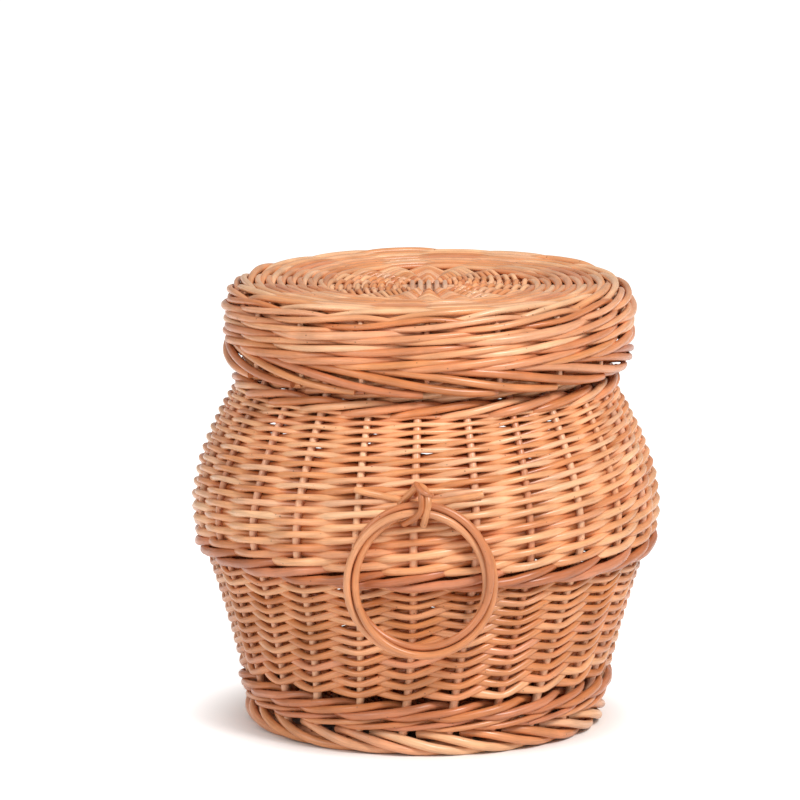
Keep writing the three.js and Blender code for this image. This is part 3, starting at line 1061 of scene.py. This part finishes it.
@dataclass(frozen=True)
class Lid:
    """The lift-off lid: a woven disc that turns down into a waled side and ends in a rolled border."""

    side_radius: float = 190.6 * MM
    disc_height: float = 423.8 * MM
    dish: float = 3.2 * MM
    corner_radius: float = 14 * MM
    side_low: float = 362 * MM
    first_round: float = 385 * MM
    round_rise: float = 12.2 * MM
    side_rounds: int = 5
    side_diameter: float = 6.5 * MM
    stake_diameter: float = 5.4 * MM
    inner_radius: float = 31 * MM
    stick_reach: float = 78 * MM
    waled_from: float = 100 * MM
    shift: float = 3.0 * MM
    let_in: float = 14 * MM
    side_climb: float = 0.62
    side_spread: float = 0.09

    @cached_property
    def surface(self) -> WeaveSurface:
        """The middle of the side and the top, from the side's foot over the corner to the centre."""
        turn = np.linspace(0, math.pi / 2, 24)[1:-1]
        corner_height = self.disc_height + self.dish - self.corner_radius
        corner_middle = self.side_radius - self.corner_radius
        side_heights = np.linspace(self.side_low, corner_height, 30)
        top_radii = np.linspace(corner_middle, HUB, 90)
        top_heights = self.disc_height + self.dish * (top_radii / corner_middle) ** 2
        bent_radii = corner_middle + self.corner_radius * np.cos(turn)
        bent_heights = corner_height + self.corner_radius * np.sin(turn)
        radii = np.concatenate([np.full(len(side_heights), self.side_radius), bent_radii, top_radii])
        heights = np.concatenate([side_heights, bent_heights, top_heights])
        return WeaveSurface(radii, heights, math.pi / LID_SPOKE_COUNT, LID_SPOKE_COUNT, unevenness=0.03)

    def build(self, dresser: Dresser) -> None:
        """Builds and dresses the lid."""
        sticks = StickCross(self.disc_height, self.stick_reach, seed=61, through=4, split=5)
        nodes = [f"lid_through_stick_{number}" for number in range(1, sticks.through + 1)]
        nodes += [f"lid_split_stick_{number}" for number in range(1, sticks.split + 1)]
        dresser.dress("lid_sticks", self._shifted(sticks.rods()), Finish.PALE, "lid", nodes)
        high = self.surface.lengths[-1] - self.stick_reach + self.let_in
        stakes = Stakes(self.surface, 0.0, high, self.stake_diameter, seed=62, steps=60)
        dresser.dress("lid_stakes", self._shifted(stakes.rods()), Finish.PALE, "lid")
        side: list[Rod] = []
        along = self.first_round - self.side_low
        for number in range(self.side_rounds):
            side += Wale(
                self.surface, along, self.side_diameter, seed=63 + number,
                stake_radius=self.stake_diameter / 2, first_stake=number % 3,
                deep=0.0, climb=self.side_climb, spread=self.side_spread,
            ).rods()
            along += self.round_rise
        side = self._shifted(side)
        dresser.dress("lid_side_rods", side, Finish.WILLOW, "lid", ["lid_side_weave"], sides=10)
        edge_radius = self.surface.lengths[-1] + HUB - along
        disc = DiscWeave(
            self.disc_height, edge_radius, self.inner_radius, self.stick_reach, seed=70,
            spokes_beside_sticks=LID_SPOKE_COUNT, spokes=LID_SPOKE_COUNT,
            waled_from=self.waled_from, dish=self.dish,
        )
        dresser.dress("lid_rounds", self._shifted(disc.rods()), Finish.WILLOW, "lid", ["lid_top_weave"])
        border = self._shifted(self._border())
        dresser.dress("lid_border_rods", border, Finish.DEEP, "lid", ["lid_border"], sides=10)

    def _shifted(self, rods: list[Rod]) -> list[Rod]:
        """Moves rods to where the loose lid sits, a little to one side on the neck."""
        return [replace(rod, points=rod.points + [self.shift, 0, 0]) for rod in rods]

    def _border(self) -> list[Rod]:
        """Lays the border: long rods on the outside and a row of short ends that come out under them.

        Returns:
            The rods.
        """
        start = self.surface.start_angle
        long_rods = RodBorder(
            radius=191.0 * MM, height=367.4 * MM, half_width=5.2 * MM, half_height=11.0 * MM,
            diameter=8.0 * MM, reach=math.radians(56), start_angle=start + math.radians(2),
            from_roll=96, to_roll=-84, seed=81, count=LID_SPOKE_COUNT,
        )
        short_ends = RodBorder(
            radius=187.0 * MM, height=362.4 * MM, half_width=4.2 * MM, half_height=6.4 * MM,
            diameter=6.4 * MM, reach=math.radians(34), start_angle=start + math.radians(5),
            from_roll=75, to_roll=-112, seed=82, count=LID_SPOKE_COUNT, inward=5 * MM,
        )
        return [*long_rods.rods(), *short_ends.rods()]


class Side(Enum):
    """The two sides that carry a ring handle, with the turn that brings the front one there."""

    FRONT = 0.0
    BACK = math.pi

    @property
    def word(self) -> str:
        """The side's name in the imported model."""
        return self.name.lower()

    def turned(self, points: np.ndarray) -> np.ndarray:
        """Turns points from the front to this side."""
        across, depth = points[:, 0], points[:, 1]
        cosine, sine = math.cos(self.value), math.sin(self.value)
        return np.column_stack([across * cosine - depth * sine, across * sine + depth * cosine, points[:, 2]])


@dataclass(frozen=True)
class RingHandle:
    """A ring of three rods laid round each other, hung in a wrapped loop, with a bar behind it in the wall."""

    side: Side
    stand_off: float = 232.29 * MM
    pivot_height: float = 251.5 * MM
    half_width: float = 65.6 * MM
    half_height: float = 68.6 * MM
    strand_diameter: float = 7.2 * MM
    strand_offset: float = 4.7 * MM
    aside: float = -5.4 * MM
    raised: float = 2.4 * MM
    steps: int = 150
    knot_steps: int = 7
    loop_reach: float = 12.4 * MM
    bar_ends: tuple[float, float] = (-67 * MM, 53 * MM)
    bar_height: float = 257 * MM
    bar_rise: float = 11.5 * MM
    bar_half: float = 64 * MM
    bar_radius: float = 3.4 * MM
    bar_middle: float = -7 * MM
    bar_hidden: float = 34 * MM
    bar_let_in: tuple[float, float] = (4 * MM, 12 * MM)
    bar_surfacing: float = 22 * MM

    def build(self, dresser: Dresser, body: Body) -> None:
        """Builds and dresses the ring, its loop and its bar.

        Args:
            dresser: Makes and dresses the pieces.
            body: The basket, whose wall carries them.
        """
        word = self.side.word
        ring, loop, bar = (f"{part}_{word}" for part in ("ring_handle", "handle_loop", "handle_crossbar"))
        # Painted shade: the ring takes the browner, shaded copy of the plain willow
        dresser.dress(f"{word}_ring_rods", self._ring(), Finish.SHADED, f"{word}_ring", [ring], sides=12)
        dresser.dress(f"{word}_loop_rods", self._loop(), Finish.DEEP, "basket", [loop], sides=12)
        dresser.dress(f"{word}_bar_rod", self._bar(body), Finish.WILLOW, "basket", [bar], sides=12)

    def _ring(self) -> list[Rod]:
        """Lays the three rods of the ring.

        Returns:
            The rods, each closed on itself.
        """
        maker = RodMaker(91)
        rods = []
        for strand in range(3):
            turn = np.linspace(0, 2 * math.pi, self.steps + 1)
            lay = turn + 2 * math.pi * strand / 3
            outward = self.strand_offset * np.cos(lay)
            across = self.aside + (self.half_width + outward) * np.sin(turn)
            middle = self.pivot_height + self.raised - self.half_height
            height = middle + (self.half_height + outward) * np.cos(turn)
            depth = -self.stand_off - self.strand_offset * np.sin(lay)
            points = self.side.turned(np.column_stack([across, depth, height]))
            sizes = self.strand_diameter * (1 + 0.05 * np.sin(turn * 2 + strand))
            rods.append(maker.rod(points, sizes / 2))
        return rods

    def _smooth(self, knots: Sequence[tuple[float, float, float]]) -> np.ndarray:
        """Draws a smooth way through a few knots.

        Args:
            knots: The points to pass, in millimetres: across, forward of the wall's axis, up.

        Returns:
            The points, in metres, turned to this side.
        """
        knot = np.array(knots, float) * MM
        padded = np.vstack([2 * knot[0] - knot[1], knot, 2 * knot[-1] - knot[-2]])
        share = np.linspace(0, 1, self.knot_steps, endpoint=False)[:, None]
        spans = []
        for a, b, c, d in zip(padded, padded[1:], padded[2:], padded[3:]):
            bend, twist = 2 * a - 5 * b + 4 * c - d, 3 * b - a - 3 * c + d
            spans.append(0.5 * (2 * b + (c - a) * share + bend * share**2 + twist * share**3))
        points = np.vstack([*spans, knot[-1]])
        points[:, 1] *= -1
        return self.side.turned(points)

    def _loop(self) -> list[Rod]:
        """Ties the loop that holds the ring: two thick ends and a thin one, brought over the ring and down.

        Returns:
            Its rods.
        """
        maker = RodMaker(95, 0.15)
        front = (self.stand_off + self.loop_reach) / MM
        thick = (
            (-25, 217, 256), (-18, 224, 265), (-11.5, 229, 273), (-5.5, 233.5, 276.5), (-0.5, 238.5, 272.5),
            (1.6, front - 0.5, 264), (0.6, front + 0.8, 256), (-1.2, front - 0.8, 248), (-3, front - 5, 240.5),
        )
        crossed = (
            (-10, 217, 266), (-9, 225, 274.5), (-7.5, 233, 277), (-5.2, 240.5, 272), (-4.6, front - 0.5, 264),
            (-5, front + 0.6, 256.5), (-8.5, front - 2, 250), (-15, front - 8, 244.5), (-21.5, front - 14, 240),
        )
        wrapped = (
            (-9.5, 224, 277), (-10, 233, 278.5), (-7, 241.5, 275.5),
            (-1.5, 244.5, 272), (3.6, 242, 269.5), (4.6, 234, 268.5),
        )
        strands = ((thick, 3.4 * MM), (crossed, 3.1 * MM), (wrapped, 2.4 * MM))
        return [maker.rod(self._smooth(knots), radius, cut=True) for knots, radius in strands]

    def _bar(self, body: Body) -> list[Rod]:
        """Lays the bar that is let into the wall behind the loop.

        Args:
            body: The basket, whose wall it lies on.

        Returns:
            Its one rod.
        """
        maker = RodMaker(97, 0.1)
        across = np.linspace(*self.bar_ends, 40)
        height = self.bar_height + self.bar_rise * (np.abs(across) / self.bar_half) ** 1.4
        past = np.abs(across - self.bar_middle) - self.bar_hidden
        inner, outer = self.bar_let_in
        out = inner + (outer - inner) * np.clip(past / self.bar_surfacing, 0, 1)
        radius = np.interp(height, body.surface.heights, body.surface.radii) + out
        depth = -np.sqrt(radius**2 - across**2)
        points = self.side.turned(np.column_stack([across, depth, height]))
        return [maker.rod(points, self.bar_radius, cut=True)]


@dataclass(frozen=True)
class Studio:
    """The floor, the light and the camera."""

    camera_place: tuple[float, float, float] = (-0.0249, -6.0, 1.446)
    camera_aim: tuple[float, float, float] = (-0.0249, 0.0, 0.3153)
    camera_lens: float = 281.9
    camera_sensor: float = 36.0
    floor_size: float = 60.0
    floor_colour: str = "#f2f1ef"
    sky_strength: float = 0.44
    backdrop_lift: float = 0.66
    lamp_aim: tuple[float, float, float] = (0.0, 0.0, 0.22)
    # Painted shadow round the foot: the floor's camera glow is off inside the first radius and full beyond the
    # second
    painted_shadow_inner_radius: float = 0.165
    painted_shadow_outer_radius: float = 0.235

    def build(self) -> None:
        """Sets the studio up."""
        self._floor()
        self._sky()
        self._lamp("key_light", (1.9, -2.6, 3.1), 1.1, 140.0)
        self._lamp("fill_light", (-2.8, -2.2, 1.9), 1.6, 38.0)
        self._camera()

    def _floor(self) -> None:
        """Lays a pale floor that shows white to the camera and still takes the shadow, with a painted shadow
        round the hamper: its glow to the camera fades to nothing towards the foot.
        """
        half = self.floor_size / 2
        mesh = bpy.data.meshes.new("floor")
        corners = [(-half, -half, 0), (half, -half, 0), (half, half, 0), (-half, half, 0)]
        mesh.from_pydata(corners, [], [(0, 1, 2, 3)])
        floor = bpy.data.objects.new("floor", mesh)
        bpy.context.scene.collection.objects.link(floor)
        material = bpy.data.materials.new("painted_studio_floor")
        material.use_nodes = True
        tree = material.node_tree
        shader = tree.nodes["Principled BSDF"]
        shader.inputs["Base Color"].default_value = linear_colour(self.floor_colour)
        shader.inputs["Roughness"].default_value = 0.9
        shader.inputs["Specular IOR Level"].default_value = 0.0
        path = add_node(tree, "ShaderNodeLightPath").outputs
        mirrored = reckoned(tree, "MAXIMUM", path["Is Camera Ray"], path["Is Glossy Ray"])
        seen = reckoned(tree, "MAXIMUM", mirrored, path["Is Transmission Ray"])
        # Painted shadow: the camera glow is off under the hamper and fades in out to the outer radius, so the
        # floor round the foot shows darker
        place = add_node(tree, "ShaderNodeTexCoord").outputs["Object"]
        reach = add_node(tree, "ShaderNodeVectorMath", {0: place}, operation="LENGTH").outputs["Value"]
        glow_past_painted_shadow = ranged(tree, reach, (self.painted_shadow_inner_radius, self.painted_shadow_outer_radius), (0.0, self.backdrop_lift))
        strength = reckoned(tree, "MULTIPLY", seen, glow_past_painted_shadow)
        glow = add_node(tree, "ShaderNodeEmission", {"Color": (1, 1, 1, 1), "Strength": strength})
        both = add_node(tree, "ShaderNodeAddShader", {0: shader.outputs[0], 1: glow.outputs[0]})
        tree.links.new(both.outputs[0], tree.nodes["Material Output"].inputs["Surface"])
        mesh.materials.append(material)

    def _sky(self) -> None:
        """Lights everything evenly from a plain white sky."""
        world = bpy.data.worlds.new("studio_sky")
        world.use_nodes = True
        sky = world.node_tree.nodes["Background"]
        sky.inputs["Color"].default_value = (1.0, 1.0, 1.0, 1.0)
        sky.inputs["Strength"].default_value = self.sky_strength
        bpy.context.scene.world = world

    def _lamp(self, name: str, place: tuple[float, float, float], size: float, power: float) -> None:
        """Hangs a soft square lamp that faces the hamper.

        Args:
            name: The lamp's name.
            place: Where it hangs.
            size: The length of its side.
            power: Its power in watts.
        """
        data = bpy.data.lights.new(name, "AREA")
        data.size = size
        data.energy = power
        lamp = bpy.data.objects.new(name, data)
        lamp.location = place
        lamp.rotation_euler = (Vector(self.lamp_aim) - Vector(place)).to_track_quat("-Z", "Y").to_euler()
        bpy.context.scene.collection.objects.link(lamp)

    def _camera(self) -> None:
        """Stands the camera where the photograph was taken from."""
        data = bpy.data.cameras.new("camera")
        data.lens = self.camera_lens
        data.sensor_width = self.camera_sensor
        data.clip_end = 100.0
        camera = bpy.data.objects.new("camera", data)
        camera.location = self.camera_place
        direction = Vector(self.camera_aim) - Vector(self.camera_place)
        camera.rotation_euler = direction.to_track_quat("-Z", "Y").to_euler()
        bpy.context.scene.collection.objects.link(camera)
        bpy.context.scene.camera = camera
        bpy.context.scene.view_settings.view_transform = "Standard"


def main() -> None:
    """Builds the hamper and its studio."""
    logging.basicConfig(level=logging.INFO, format="%(message)s")
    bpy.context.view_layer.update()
    # Willow boiled and peeled, satin orange to the eye: a plain bundle, and a paler one for stakes and sticks,
    # a browner copy of the plain one as painted shade on the lower wall and the rings, and a deeper one for
    # the bands and the lid's edge
    shaded = WillowFinish("peeled_buff_willow_painted_shade", "#e9ac7c", "#d88f57", "#c67840", "#a5572b")
    deep = WillowFinish("peeled_deep_buff_willow", "#e09f6c", "#cf824c", "#ba6b38", "#984e24")
    materials = {
        Finish.WILLOW: WillowFinish("peeled_buff_willow").material(),
        Finish.PALE: WillowFinish("peeled_pale_buff_willow", fair="#f2bf97", warm="#e6a97d").material(),
        Finish.SHADED: shaded.material(),
        Finish.DEEP: deep.material(),
    }
    dresser = Dresser(RodSweep(), materials)
    body = Body()
    body.build(dresser)
    Base().build(dresser)
    Lid().build(dresser)
    for side in Side:
        RingHandle(side).build(dresser, body)
    Studio().build()


if __name__ == "__main__":
    main()
